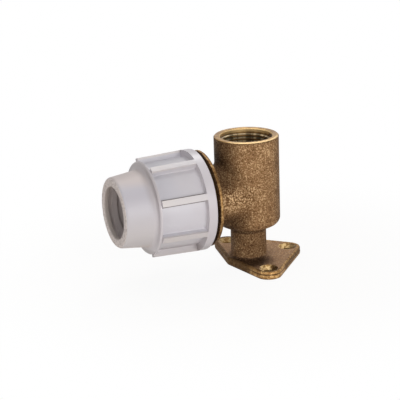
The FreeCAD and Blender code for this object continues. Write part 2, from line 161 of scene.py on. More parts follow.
def unsigned(field):
    """A field without its sign: how far it is from 0, either way."""
    return field.maths("ABSOLUTE", field)


def screen(red, green, blue):
    """A colour written in screen values from 0 to 255, as the linear numbers that a shader works with."""
    values = np.array([red, green, blue]) / 255
    linear = np.where(values <= 0.04045, values / 12.92, ((values + 0.055) / 1.055) ** 2.4)
    return (*linear.tolist(), 1.0)


def blend_colours(share, first, second):
    """The first colour where share is 0, the second where it is 1, and a mix of the two between."""
    return share.node("ShaderNodeMix", {"data_type": "RGBA"}, {0: share, 6: first, 7: second}, 2)


print("colour 128 128 128 is", round(screen(128, 128, 128)[0], 3), "in linear numbers")

# %% [markdown]
# The part stands on a plain white sweep, as in a catalogue. A floor lit hard enough to be white would also
# burn out the pale nut, so the world shows itself as white only to rays from the camera and to reflections,
# and lights the part at a plain level.

# %% World
AMBIENT = 0.17
WHITE = (1, 1, 1, 1)


def seen_by_eye(tree):
    """1 for rays from the camera and for reflected or refracted ones, 0 for rays that gather light."""
    start = Field(tree)
    rays = [start.node("ShaderNodeLightPath", {}, {}, f"Is {kind} Ray")
            for kind in ("Camera", "Glossy", "Transmission")]
    return larger(*rays)


world = bpy.data.worlds.new("white_sweep")
world.use_nodes = True
bpy.context.scene.world = world
background = world.node_tree.nodes["Background"]
background.inputs["Color"].default_value = WHITE
strength = AMBIENT + (1 - AMBIENT) * seen_by_eye(world.node_tree)
world.node_tree.links.new(strength.socket, background.inputs["Strength"])
bpy.context.scene.view_settings.view_transform = "Standard"
print("world lights the part at", AMBIENT, "and shows itself at 1")

# %% [markdown]
# The floor is the near end of the sweep. Paint alone would come out grey, and a floor that only glows would
# lose the shadow, so the two are mixed for the same rays: all glow far from the part, and close to it a
# share of plain matt paper, which keeps the soft shadow.

# %% Floor
FLOOR_HALF_WIDTH = 4.0
FLOOR_COLOUR = screen(238, 231, 224)
SHADOW_SHARE = 0.07
SHADOW_FADE = (0.05, 0.16)

floor_finish = bpy.data.materials.new("white_floor")
floor_finish.use_nodes = True
floor_finish.node_tree.nodes.clear()
paper = Field(floor_finish.node_tree)
paper_place = paper.node("ShaderNodeTexCoord", {}, {}, "Object")
paper_way = paper.node("ShaderNodeVectorMath", {"operation": "LENGTH"}, {0: paper_place}, "Value")
white_share = seen_by_eye(paper.tree) * (1 - SHADOW_SHARE * fall(paper_way, *SHADOW_FADE))
matt = paper.node("ShaderNodeBsdfDiffuse", {}, {"Color": FLOOR_COLOUR})
glow = paper.node("ShaderNodeEmission", {}, {"Color": WHITE, "Strength": 1.0})
paper_mix = paper.node("ShaderNodeMixShader", {}, {0: white_share, 1: matt, 2: glow})
paper.node("ShaderNodeOutputMaterial", {}, {"Surface": paper_mix})

floor_mesh = bpy.data.meshes.new("floor")
corners = np.array([[-1, -1, 0], [1, -1, 0], [1, 1, 0], [-1, 1, 0]]) * FLOOR_HALF_WIDTH
floor_mesh.from_pydata(corners.tolist(), [], [[0, 1, 2, 3]])
floor_mesh.materials.append(floor_finish)
floor = bpy.data.objects.new("floor", floor_mesh)
bpy.context.scene.collection.objects.link(floor)
print("floor", 2 * FLOOR_HALF_WIDTH, "m wide")

# %% [markdown]
# Four soft boxes light the part. The large one overhead whitens the top edges. The one ahead, set low, gives
# the nut its light band and the socket its bright middle. A weak one on the left keeps the mouth of the nut
# from going dark, and a small one behind puts a glint on the nut's rim and the plate's lip. A sun lamp would
# be simpler, but its shadows are hard. A lamp of 10 watts a metre away lights a matt surface to about its
# own colour, and no surface here faces all four.

# %% Lamps
# Each has its place and width in metres and its power in watts.
SOFT_BOXES = {
    "overhead_box": ((0.00, 0.25, 1.00), 0.80, 3.8),
    "front_box": ((0.04, -1.05, 0.28), 0.50, 7.2),
    "left_box": ((-1.05, -0.35, 0.22), 0.35, 2.6),
    "back_box": ((0.45, 0.62, 0.93), 0.20, 2.6),
}


def add_soft_box(name, place, width, watts):
    """A square area lamp at a place, aimed at the middle of the part."""
    lamp = bpy.data.lights.new(name, "AREA")
    lamp.size = width
    lamp.energy = watts
    box = bpy.data.objects.new(name, lamp)
    box.location = place
    box.rotation_euler = (VIEW_TARGET - Vector(place)).to_track_quat("-Z", "Y").to_euler()
    bpy.context.scene.collection.objects.link(box)


for name, (place, width, watts) in SOFT_BOXES.items():
    add_soft_box(name, place, width, watts)
print("lamps:", [lamp.name for lamp in bpy.data.lights])

# %% [markdown]
# Every finish starts the same way: a material with one Principled shader, the place of each surface point in
# metres, and noise of a chosen size. Because each object sits at the origin, Object coordinates are the same
# as the part's own frame, so a finish can tell a bore or a plate by where it is.

# %% Start of a finish
def new_finish(name):
    """A new material: its Principled shader and the field of the place on the surface."""
    material = bpy.data.materials.new(name)
    material.use_nodes = True
    shader = material.node_tree.nodes["Principled BSDF"]
    place = Field(material.node_tree).node("ShaderNodeTexCoord", {}, {}, "Object")
    return material, shader, place


def noise(place, size, detail=2.0, roughness=0.55):
    """Smooth noise from 0 to 1 whose lumps are about size across."""
    inputs = {"Vector": place, "Scale": 1 / size, "Detail": detail, "Roughness": roughness}
    return place.node("ShaderNodeTexNoise", {}, inputs)


def axes_of(place):
    """The x, y and z of a place as three fields."""
    return [place.node("ShaderNodeSeparateXYZ", {}, {"Vector": place}, axis) for axis in "XYZ"]


def length_of(first, second):
    """The root of the sum of two squares."""
    return (first * first + second * second) ** 0.5


def feed(shader, **fields):
    """Link fields to the shader's sockets; the name of a socket is written with _ for its spaces."""
    for name, field in fields.items():
        field.tree.links.new(field.socket, shader.inputs[name.replace("_", " ")])


def bump(height, depth):
    """The surface's direction where it is raised by height times depth."""
    return height.node("ShaderNodeBump", {}, {"Height": height, "Distance": depth})


print("place is read in metres, so noise of 1 mm has a scale of", round(1 / MM))

# %% [markdown]
# The elbow is sand cast. A lathe then cuts the socket's face and thread, the joint's side of the flange disc
# and the countersinks, and there the brass is bright. One material can do both when it has a mask for the
# cut faces. An image could hold such a mask, but distances from the part's two axes and from its screws give
# it exactly.

# %% Places on the casting
PIPE_AXIS_HEIGHT = mounts["pipe_entry"]["pos_m"][2]
THREAD_ROOT_RADIUS = mounts["socket_thread"]["dims"]["r_mm"] * MM
SOCKET_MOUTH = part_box("elbow_body")[1].z
SOCKET_THREAD_DEPTH = 17.0 * MM
SOCKET_BOTTOM = SOCKET_MOUTH - SOCKET_THREAD_DEPTH
FLANGE_BACK = 24.5 * MM
FLANGE_FRONT = 26.5 * MM
PLATE_THICKNESS = 3.8 * MM
COUNTERSINK_RADIUS = 4.7 * MM
SCREW_HOLE_RADIUS = mounts["back_screw"]["dims"]["r_mm"] * MM
side_screw_x = mounts["side_screws"]["pos_m"][0]
side_screw_y = mounts["side_screws"]["dims"]["spacing_y_mm"] * MM / 2
back_screw_x = mounts["back_screw"]["pos_m"][0]
SCREW_PLACES = [(side_screw_x, side_screw_y), (side_screw_x, -side_screw_y), (back_screw_x, 0.0)]


def from_socket_axis(x, y, z):
    """The distance from the socket's axis."""
    return length_of(x, y)


def from_pipe_axis(x, y, z):
    """The distance from the pipe's axis."""
    return length_of(y, z - PIPE_AXIS_HEIGHT)


print(len(SCREW_PLACES), "screws, and a socket bore of", round(2 * THREAD_ROOT_RADIUS / MM, 2), "mm")

# %% Mask of the cut faces
SOCKET_FACE = (SOCKET_MOUTH - 0.32 * MM, SOCKET_MOUTH - 0.18 * MM)
BORE_WALL = (THREAD_ROOT_RADIUS + 0.2 * MM, THREAD_ROOT_RADIUS + 0.4 * MM)
BORE_END = (SOCKET_BOTTOM - 3 * MM, SOCKET_BOTTOM - 2 * MM)
JOINT_FACE = (FLANGE_FRONT - 0.15 * MM, FLANGE_FRONT - 0.05 * MM)
PLATE_TOP = (PLATE_THICKNESS, PLATE_THICKNESS + 1 * MM)
SINK_EDGE = (COUNTERSINK_RADIUS, COUNTERSINK_RADIUS + 0.12 * MM)
GAP_FACE = (FLANGE_FRONT - 0.3 * MM, FLANGE_FRONT - 0.1 * MM)
GAP_END = (FLANGE_FRONT + 0.2 * MM, FLANGE_FRONT + 0.4 * MM)
GAP_INNER_RADIUS = (20.4 * MM, 21.2 * MM)


def beside_joint(x, y, z):
    """1 on the disc's face outside the spigot, which lies in the narrow gap behind the nut."""
    along = x * -1
    on_face = rise(along, *GAP_FACE) * fall(along, *GAP_END)
    return on_face * rise(from_pipe_axis(x, y, z), *GAP_INNER_RADIUS)


def cut_faces(x, y, z):
    """1 on what a tool has cut: the socket's face and bore, the countersinks and the joint's side."""
    face = rise(z, *SOCKET_FACE)
    bore = fall(from_socket_axis(x, y, z), *BORE_WALL) * rise(z, *BORE_END)
    joint_side = rise(x * -1, *JOINT_FACE) * (1 - beside_joint(x, y, z))
    on_plate = fall(z, *PLATE_TOP)
    sinks = [fall(length_of(x - screw_x, y - screw_y), *SINK_EDGE) * on_plate
             for screw_x, screw_y in SCREW_PLACES]
    return larger(face, bore, joint_side, *sinks)


print("the cut face of the socket starts", round((SOCKET_MOUTH - SOCKET_FACE[0]) / MM, 2), "mm down")

# %% [markdown]
# Painted shade darkens the brass skin over and under the branch, beside the foot of the pillar, on the
# pillar and under the socket, on the far side, just below the mouth and in the gap behind the nut. Along
# the branch a painted highlight of extra pale specks brightens it. An Ambient Occlusion node could find the
# corners by itself, but not these other places, so each is a small mask.

# %% Painted shade and highlight on the skin
OVER_BRANCH_ALONG = (8 * MM, 17 * MM)
OVER_BRANCH_HEIGHT = (40 * MM, 47 * MM)
BELOW_BRANCH_ALONG = (3 * MM, 14 * MM)
BELOW_BRANCH_LOW = (12 * MM, 17 * MM)
BELOW_BRANCH_HIGH = (27 * MM, 36 * MM)
FOOT_SHADE_X = -5 * MM
FOOT_SHADE_Y = -9 * MM
FOOT_SHADE_REACH = (7 * MM, 15 * MM)
FOOT_SHADE_HEIGHT = (4.2 * MM, 5.6 * MM)
PILLAR_REACH = (9.4 * MM, 11 * MM)
PILLAR_TOP = (17 * MM, 22 * MM)
SOCKET_UNDERSIDE_LOW = (16.6 * MM, 17.6 * MM)
SOCKET_UNDERSIDE_HIGH = (19.0 * MM, 19.8 * MM)
FAR_SIDE_X = (6 * MM, 12 * MM)
FAR_SIDE_HEIGHT = (20 * MM, 24 * MM)
BELOW_MOUTH = (SOCKET_MOUTH - 1.3 * MM, SOCKET_MOUTH - 0.6 * MM)
# where a painted highlight of extra pale specks runs along the branch
HIGHLIGHT_HEIGHT = PIPE_AXIS_HEIGHT + 2 * MM
HIGHLIGHT_REACH = (1 * MM, 8 * MM)
HIGHLIGHT_ALONG = (0 * MM, 8 * MM)


def skin_shade(x, y, z):
    """How much painted shade: the largest of the shares of all the shaded places."""
    along = x * -1
    over_branch = rise(along, *OVER_BRANCH_ALONG) * rise(z, *OVER_BRANCH_HEIGHT)
    below_branch = rise(z, *BELOW_BRANCH_LOW) * fall(z, *BELOW_BRANCH_HIGH)
    below_branch = below_branch * rise(along, *BELOW_BRANCH_ALONG)
    foot_shade = fall(length_of(x - FOOT_SHADE_X, y - FOOT_SHADE_Y), *FOOT_SHADE_REACH)
    foot_shade = foot_shade * fall(z, *FOOT_SHADE_HEIGHT)
    near_pillar = fall(from_socket_axis(x, y, z), *PILLAR_REACH)
    pillar = near_pillar * fall(z, *PILLAR_TOP)
    underside = near_pillar * rise(z, *SOCKET_UNDERSIDE_LOW) * fall(z, *SOCKET_UNDERSIDE_HIGH)
    far_side = rise(x, *FAR_SIDE_X) * rise(z, *FAR_SIDE_HEIGHT)
    below_mouth = rise(z, *BELOW_MOUTH)
    return larger(
        0.8 * over_branch, 0.85 * below_branch, foot_shade, 0.45 * pillar, 0.8 * underside,
        0.42 * far_side, 0.35 * below_mouth, 0.9 * beside_joint(x, y, z),
    )


def highlighted(x, z):
    """1 along the front and back of the branch, where extra pale specks make a painted highlight."""
    return fall(unsigned(z - HIGHLIGHT_HEIGHT), *HIGHLIGHT_REACH) * rise(x * -1, *HIGHLIGHT_ALONG)


print("the branch is rubbed round a height of", round(HIGHLIGHT_HEIGHT / MM, 1), "mm")

# %% [markdown]
# The cast skin keeps the grain of the sand: golden brown, with dark pits and pale specks well under a
# millimetre across. A Voronoi texture gives rounder grains, but they look like gravel, so two sizes of
# smooth noise are added up instead, and the sum is cut at two levels: low places are pits, high ones specks.

# %% Cast skin
BRASS_PIT = screen(86, 58, 34)
BRASS_SKIN = screen(142, 107, 73)
BRASS_SPECK = screen(234, 198, 150)
BRASS_PLATE = screen(188, 150, 119)
# painted shade on the brass: one dark colour for its shaded places, holes and edges
BRASS_SHADE = screen(46, 27, 13)
PIT_LEVEL = (0.32, 0.52)
SPECK_LEVEL = (0.50, 0.66)
PLATE_SKIN = (PLATE_THICKNESS + 0.2 * MM, PLATE_THICKNESS + 1.5 * MM)


def cast_skin(x, y, z, grain, lumps):
    """The skin's colour: pits and specks, paler on the plate, a painted highlight and painted shade."""
    branch_glint = highlighted(x, z)
    skin = blend_colours(rise(lumps, *PIT_LEVEL), BRASS_PIT, BRASS_SKIN)
    specks = rise(lumps + 0.05 * branch_glint, *SPECK_LEVEL) * (0.6 + 0.4 * branch_glint)
    skin = blend_colours(specks, skin, BRASS_SPECK)
    skin = blend_colours(0.4 * fall(z, *PLATE_SKIN), skin, BRASS_PLATE)
    return blend_colours(skin_shade(x, y, z) * (1.25 - 0.7 * grain), skin, BRASS_SHADE)


for tone in (BRASS_PIT, BRASS_SKIN, BRASS_SPECK):
    print("skin tone", [round(c, 2) for c in tone[:3]])

# %% [markdown]
# The cut faces are gold with dull streaks of painted reflection, as a turned face shows them, mixed with
# random blotches. Noise that reads only the direction from the axis makes streaks of that kind. The mouth's
# front edge and the plain lead-in get a painted highlight, the countersinks pale patches of painted
# reflection, and the screw holes painted shade in their bores and on one side of their countersinks.

# %% Turned brass
BRASS_CUT = screen(172, 136, 84)
# dark streaks of painted reflection on the cut faces
BRASS_CUT_DARK_REFLECTION = screen(124, 92, 54)
# the colour of the painted highlights on the cut faces
BRASS_CUT_HIGHLIGHT = screen(240, 208, 152)
STREAK_TURN = 0.22
STREAK_LEVEL = (0.38, 0.60)
SINK_STREAK = 1.8 * MM
SINK_STREAK_LEVEL = (0.44, 0.60)
SINK_TOP = (PLATE_THICKNESS + 0.1 * MM, PLATE_THICKNESS + 1 * MM)
LEAD_IN = 1.3 * MM
LEAD_IN_HEIGHT = (SOCKET_MOUTH - LEAD_IN - 0.6 * MM, SOCKET_MOUTH - LEAD_IN - 0.3 * MM)
LEAD_IN_WALL = (13.5 * MM, 13.7 * MM)
MOUTH_EDGE = (15.0 * MM, 15.5 * MM)
MOUTH_FRONT = (-13 * MM, -5 * MM)
ABOVE_SOCKET_BOTTOM = (SOCKET_BOTTOM, SOCKET_BOTTOM + 1 * MM)
HOLE_BORE = (SCREW_HOLE_RADIUS - 0.1 * MM, SCREW_HOLE_RADIUS + 0.3 * MM)
HOLE_SIDE = (0.6 * MM, 2.8 * MM)
HOLE_SIDE_SLANT = 0.45
HOLE_REACH = (5 * MM, 6 * MM)
FAR_HOLE = (10 * MM, 14 * MM)


def reflection_streaks(place):
    """Noise that changes round the socket's axis but not along it, for streaks of painted reflection."""
    flat = place.node("ShaderNodeVectorMath", {"operation": "MULTIPLY"}, {0: place, 1: (1, 1, 0)})
    direction = place.node("ShaderNodeVectorMath", {"operation": "NORMALIZE"}, {0: flat})
    return noise(direction, STREAK_TURN)


def hole_shade(x, y, z):
    """Painted shade in each screw hole's bore, on one side of its countersink, and all over the far hole."""
    hole_shades = [0.4 * rise(y, *FAR_HOLE)]
    for screw_x, screw_y in SCREW_PLACES:
        from_screw = length_of(x - screw_x, y - screw_y)
        bore = fall(from_screw, *HOLE_BORE)
        side = rise((x - screw_x) - HOLE_SIDE_SLANT * (y - screw_y), *HOLE_SIDE)
        hole_shades.append(fall(from_screw, *HOLE_REACH) * larger(0.8 * bore, 0.7 * side))
    return larger(*hole_shades) * fall(z, *PLATE_TOP)


def turned_brass(place, x, y, z, rings, blotch):
    """The cut faces: gold with painted reflection streaks, painted highlights, and painted shade in holes.
    """
    reach = from_socket_axis(x, y, z)
    streak_mix = 0.7 * reflection_streaks(place) + 0.3 * blotch
    turned = blend_colours(rise(streak_mix + 0.08 * rings, *STREAK_LEVEL), BRASS_CUT_DARK_REFLECTION, BRASS_CUT)
    # painted highlights on the plain lead-in and the mouth's front edge, pale painted reflection in the
    # countersinks
    lead_in_highlight = rise(z, *LEAD_IN_HEIGHT) * fall(reach, *LEAD_IN_WALL)
    turned = blend_colours(0.55 * lead_in_highlight, turned, BRASS_CUT_HIGHLIGHT)
    edge_highlight = rise(reach, *MOUTH_EDGE) * fall(y, *MOUTH_FRONT) * rise(z, *ABOVE_SOCKET_BOTTOM)
    sink_reflection = fall(z, *SINK_TOP) * rise(noise(place, SINK_STREAK), *SINK_STREAK_LEVEL)
    turned = blend_colours(larger(0.8 * edge_highlight, 0.7 * sink_reflection), turned, BRASS_CUT_HIGHLIGHT)
    return blend_colours(hole_shade(x, y, z), turned, BRASS_SHADE)


print("the plain lead-in of the socket is", round(LEAD_IN / MM, 1), "mm deep")

# %% [markdown]
# The casting's material puts the two together. The mask of the cut faces mixes their colours, and it also
# makes the cut faces more metallic and smoother. Two materials on two sets of faces would need the solid's
# faces to be picked apart, and the mask needs only their places. The bump is grain on the skin and the fine
# rings of the lathe tool where it has cut.

# %% Cast brass
GRAIN = 0.7 * MM
BLOTCH = 9.0 * MM
TURNING_STEP = 0.42 * MM
GRAIN_DEPTH = 0.6 * MM
BRASS_SHEEN = 0.05


def cast_brass_finish():
    """Cast skin with pits, specks and tarnish, and fine rings where a tool has cut."""
    material, shader, place = new_finish("cast_brass")
    shader.inputs["Specular IOR Level"].default_value = BRASS_SHEEN
    x, y, z = axes_of(place)
    cut = cut_faces(x, y, z)
    grain = noise(place, GRAIN, detail=3, roughness=0.6)
    blotch = noise(place, BLOTCH)
    lumps = 0.8 * grain + 0.2 * blotch
    rings = place.maths("SINE", from_socket_axis(x, y, z) * (2 * math.pi / TURNING_STEP))
    skin = cast_skin(x, y, z, grain, lumps)
    feed(
        shader,
        Base_Color=blend_colours(cut, skin, turned_brass(place, x, y, z, rings, blotch)),
        Metallic=0.1 + 0.7 * cut,
        Roughness=0.66 - 0.2 * grain - 0.2 * cut,
        Normal=bump((1 - cut) * lumps + 0.03 * cut * rings, GRAIN_DEPTH),
    )
    return material


cast_brass = cast_brass_finish()
print("casting finish:", cast_brass.name, "with", len(cast_brass.node_tree.nodes), "nodes")

# %% [markdown]
# Two small finishes go with the casting. A cut thread gets a painted highlight on its crests and painted
# shade in its roots, so its colour follows the distance from the axis. The edges of the disc and the plate
# are gold with worn patches, and painted shade darkens them where they lie in shade. Where it falls differs
# from edge to edge, so each edge brings its own mask to the same finish.

# %% Thread and edge brass
# painted shade in the thread's roots and a painted highlight on its crests
THREAD_ROOT_SHADE = screen(58, 38, 20)
THREAD_CREST_HIGHLIGHT = screen(236, 220, 184)
THREAD_STREAK_LEVEL = (0.40, 0.58)
THREAD_GRAIN = 0.3 * MM
THREAD_GRAIN_DEPTH = 0.02 * MM
EDGE_DARK = screen(134, 98, 58)
EDGE_GOLD = screen(168, 129, 82)
EDGE_BRIGHT = screen(208, 170, 116)
EDGE_GOLD_LEVEL = (0.36, 0.50)
EDGE_BRIGHT_LEVEL = (0.50, 0.64)
WORN_PATCH = 1.6 * MM
WORN_DEPTH = 0.25 * MM


def thread_finish(name, distance_of, root, crest):
    """Painted shade at the root's distance from the axis, a painted highlight at the crest's, in streaks."""
    material, shader, place = new_finish(name)
    height = rise(distance_of(*axes_of(place)), root, crest)
    pale = height * (0.25 + 0.75 * rise(reflection_streaks(place), *THREAD_STREAK_LEVEL))
    feed(
        shader,
        Base_Color=blend_colours(pale, THREAD_ROOT_SHADE, THREAD_CREST_HIGHLIGHT),
        Metallic=0.2 + 0.5 * height,
        Roughness=0.5 - 0.2 * height,
        Normal=bump(noise(place, THREAD_GRAIN), THREAD_GRAIN_DEPTH),
    )
    return material


def edge_finish(name, dark_of):
    """Gold with bright worn patches, and painted shade where dark_of says."""
    material, shader, place = new_finish(name)
    shader.inputs["Specular IOR Level"].default_value = BRASS_SHEEN
    patch = noise(place, WORN_PATCH, detail=3, roughness=0.65)
    gold = blend_colours(rise(patch, *EDGE_GOLD_LEVEL), EDGE_DARK, EDGE_GOLD)
    gold = blend_colours(rise(patch, *EDGE_BRIGHT_LEVEL), gold, EDGE_BRIGHT)
    dark = dark_of(*axes_of(place))
    feed(
        shader,
        Base_Color=blend_colours(dark, gold, BRASS_SHADE),
        Metallic=0.55 - 0.4 * dark,
        Roughness=0.5 - 0.15 * patch + 0.2 * dark,
        Normal=bump(patch, WORN_DEPTH),
    )
    return material


print("thread crest", [round(c, 2) for c in THREAD_CREST_HIGHLIGHT[:3]])
print("thread root", [round(c, 2) for c in THREAD_ROOT_SHADE[:3]])

# %% [markdown]
# The nut is moulded in pale grey plastic. Its finish has to know the pockets from the ribs. Painting the
# faces by hand would do it, but the ribs repeat eight times a turn, so folding the angle round the nut finds
# the nearest one, and the depth under the line of the ribs tells a floor from a rib's top.

# %% Places on the nut
NUT_MOUTH = -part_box("compression_nut")[0].x
NUT_RIM_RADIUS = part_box("compression_nut")[1].y
NUT_RIM_FRONT = 33.0 * MM
POCKET_FRONT = 56.2 * MM
COLLAR_START = 57.4 * MM
PIPE_RADIUS = mounts["pipe_entry"]["dims"]["r_mm"] * MM
BARREL_SLOPE = math.tan(math.radians(2.0))
RIB_COUNT = 8
RIB_START = math.radians(19.5)
RIB_FOOT = math.radians(4.1)
POCKET_SOFTNESS = 0.2 * MM


def in_pockets(along):
    """1 on the stretch of the barrel that has the pockets."""
    starts = rise(along, NUT_RIM_FRONT, NUT_RIM_FRONT + POCKET_SOFTNESS)
    return starts * fall(along, POCKET_FRONT - POCKET_SOFTNESS, POCKET_FRONT)


def pocket_places(along, y, up):
    """How deep a point lies under the line of the ribs, and its angle from the nearest rib's middle."""
    deep = NUT_RIM_RADIUS - (along - NUT_RIM_FRONT) * BARREL_SLOPE - length_of(y, up)
    turn = up.maths("ARCTAN2", up, y * -1) - RIB_START
    return deep, turn.maths("PINGPONG", turn, math.pi / RIB_COUNT)


print("a rib every", round(360 / RIB_COUNT), "degrees, and pockets",
      round((POCKET_FRONT - NUT_RIM_FRONT) / MM, 1), "mm long")

# %% [markdown]
# Up close the nut is not one grey. Its ribs are warmer than the floors between them. Painted shade darkens
# the upper floors and the underside of the barrel, and cools and darkens the collar towards its top, with a
# warm painted reflection at the collar's very top and bottom. A gradient texture could tint the whole nut,
# but each tone sits on one piece of the moulding, so masks place them.

# %% Greys of the nut
NUT_GREY = screen(197, 191, 195)
NUT_RIB_WARM = screen(195, 188, 186)
# painted shade on the upper floors of the pockets
NUT_POCKET_UPPER_SHADE = screen(187, 184, 190)
NUT_POCKET_COOL = screen(198, 195, 201)
NUT_CLOUD = screen(194, 189, 192)
NUT_COLLAR = screen(194, 189, 190)
# painted shade towards the collar's top, and a warm painted reflection at its top and bottom
NUT_COLLAR_TOP_SHADE = screen(183, 179, 185)
NUT_COLLAR_WARM_REFLECTION = screen(196, 180, 171)
# painted shade under the barrel and in the corner by the shoulder
NUT_SHADE = screen(152, 143, 141)
CLOUD_LEVEL = (0.35, 0.7)
UPPER_FLOOR_SHADE = (2 * MM, 12 * MM)
FLOOR_DEPTH = (0.7 * MM, 1.5 * MM)
UNDERSIDE_SHADE = (-21.5 * MM, -17.5 * MM)
COLLAR_SHADE_RISE = (-10 * MM, 10 * MM)
COLLAR_REFLECTION_RISE = (13.5 * MM, 17.5 * MM)


def barrel_grey(along, up, deep, clouds):
    """Warm ribs, cooler floors with painted shade upwards, soft clouds over all, and painted shade
    underneath.
    """
    floor_grey = blend_colours(rise(up, *UPPER_FLOOR_SHADE), NUT_POCKET_COOL, NUT_POCKET_UPPER_SHADE)
    between = blend_colours(rise(deep, *FLOOR_DEPTH), NUT_RIB_WARM, floor_grey)
    grey = blend_colours(in_pockets(along), NUT_GREY, between)
    grey = blend_colours(0.7 * rise(clouds, *CLOUD_LEVEL), grey, NUT_CLOUD)
    return blend_colours(0.6 * fall(up, *UNDERSIDE_SHADE), grey, NUT_SHADE)


def collar_grey(up):
    """Painted shade, cooler and darker towards the top, and a warm painted reflection at the very top and
    bottom.
    """
    grey = blend_colours(rise(up, *COLLAR_SHADE_RISE), NUT_COLLAR, NUT_COLLAR_TOP_SHADE)
    return blend_colours(0.6 * rise(unsigned(up), *COLLAR_REFLECTION_RISE), grey, NUT_COLLAR_WARM_REFLECTION)


print("nut grey", [round(c, 2) for c in NUT_GREY[:3]], "collar", [round(c, 2) for c in NUT_COLLAR[:3]])

# %% [markdown]
# Painted shade comes last: thin lines along the feet of the ribs that face the front, a band by the
# shoulder, and the wall of the lip inside the mouth. The end face has specks and a coarse grain from the
# mould. An image would blur up close, so masks and noise place all of it. The skin is satin, a little duller
# on the collar and on the end face, and clouds of noise keep its shine from being the same everywhere.

# %% Grey plastic
# painted shade in thin lines at the feet of the front ribs
NUT_RIB_SHADE = screen(108, 99, 96)
NUT_FACE = screen(216, 206, 202)
NUT_SPECK = screen(150, 139, 135)
NUT_LIP_SHADE = screen(187, 177, 171)
NUT_CLOUD_SIZE = 20 * MM
NUT_GRAIN = 0.6 * MM
NUT_GRAIN_DEPTH = 0.10 * MM
SPECK_SIZE = 0.7 * MM
FACE_SPECK_LEVEL = (0.46, 0.64)
COLLAR_BEGINS = (COLLAR_START, COLLAR_START + 2 * MM)
END_FACE = (NUT_MOUTH - 0.35 * MM, NUT_MOUTH - 0.15 * MM)
SHOULDER_BACK = (POCKET_FRONT - 0.4 * MM, POCKET_FRONT + 0.6 * MM)
SHOULDER_FRONT = (COLLAR_START + 1.1 * MM, COLLAR_START + 4.6 * MM)
SHOULDER_SHADE_RISE = (0 * MM, 12 * MM)
RIB_SHADE_WIDTH = (math.radians(0.6), math.radians(1.5))
RIB_SHADE_DEPTH = (0.4 * MM, 1.2 * MM)
RIB_SHADE_LOW = (1 * MM, 4 * MM)
RIB_SHADE_HIGH = (12 * MM, 16 * MM)
RIB_SHADE_FRONT = (-20 * MM, -15 * MM)
LIP_WALL = (PIPE_RADIUS + 0.1 * MM, PIPE_RADIUS + 0.5 * MM)
LIP_END = (65 * MM, 66 * MM)


def rib_foot_shade(along, y, up, deep, from_rib):
    """Painted shade: 1 in thin lines at the feet of the ribs that face the front."""
    feet = fall(unsigned(from_rib - RIB_FOOT), *RIB_SHADE_WIDTH) * rise(deep, *RIB_SHADE_DEPTH) * in_pockets(along)
    return feet * rise(up, *RIB_SHADE_LOW) * fall(up, *RIB_SHADE_HIGH) * fall(y, *RIB_SHADE_FRONT)


def grey_plastic_finish():
    """Satin greys, painted shade at the ribs' feet, by the shoulder and on the lip's wall, and a specked end
    face.
    """
    material, shader, place = new_finish("grey_plastic")
    x, y, z = axes_of(place)
    along = x * -1
    up = z - PIPE_AXIS_HEIGHT
    deep, from_rib = pocket_places(along, y, up)
    clouds = noise(place, NUT_CLOUD_SIZE, detail=1)
    on_collar = rise(along, *COLLAR_BEGINS)
    end_face = rise(along, *END_FACE)
    grey = blend_colours(on_collar, barrel_grey(along, up, deep, clouds), collar_grey(up))
    # painted shade in the corner by the shoulder, more towards the top
    by_shoulder = rise(along, *SHOULDER_BACK) * fall(along, *SHOULDER_FRONT)
    grey = blend_colours(0.5 * by_shoulder * rise(up, *SHOULDER_SHADE_RISE), grey, NUT_SHADE)
    grey = blend_colours(0.95 * rib_foot_shade(along, y, up, deep, from_rib), grey, NUT_RIB_SHADE)
    specks = rise(noise(place, SPECK_SIZE), *FACE_SPECK_LEVEL)
    grey = blend_colours(end_face, grey, blend_colours(0.75 * specks, NUT_FACE, NUT_SPECK))
    # painted shade on the wall of the lip inside the mouth
    lip = fall(length_of(y, up), *LIP_WALL) * rise(along, *LIP_END)
    feed(
        shader,
        Base_Color=blend_colours(lip, grey, NUT_LIP_SHADE),
        Roughness=0.31 + 0.1 * clouds + 0.12 * on_collar + 0.15 * end_face,
        Normal=bump((0.25 + 0.9 * end_face) * noise(place, NUT_GRAIN), NUT_GRAIN_DEPTH),
    )
    return material


plastic = grey_plastic_finish()
print("plastic finish:", plastic.name, "with", len(plastic.node_tree.nodes), "nodes")

# %% [markdown]
# Inside the nut sit the pieces that hold and seal the pipe: a split ring with teeth and a thrust ring, both
# moulded in pale plastic, and a black rubber ring. One finish serves all three with other colours. Painted
# shade greys the first teeth behind the mouth, which is all that shows from outside.

# %% Inner plastic and rubber
RING_PALE = screen(220, 211, 209)
RING_CLOUD = screen(212, 203, 202)
# painted shade on the grip ring's first teeth
RING_SHADE = screen(180, 171, 170)
RUBBER_BLACK = screen(34, 33, 33)
RUBBER_BLOOM = screen(52, 51, 50)
RING_CLOUD_SIZE = 5 * MM
RUBBER_CLOUD_SIZE = 3 * MM
RING_ROUGHNESS = 0.42
RUBBER_ROUGHNESS = 0.6
SHADED_TEETH_START = (62.0 * MM, 63.5 * MM)
SHADED_TEETH_END = (68.0 * MM, 68.6 * MM)
INNER_CLOUD_LEVEL = (0.3, 0.7)
GRAINS_PER_CLOUD = 8
INNER_GRAIN_DEPTH = 0.03 * MM


def shaded_teeth(x, y, z):
    """1 on the grip ring's first teeth behind the mouth, which get painted shade."""
    along = x * -1
    return rise(along, *SHADED_TEETH_START) * fall(along, *SHADED_TEETH_END)


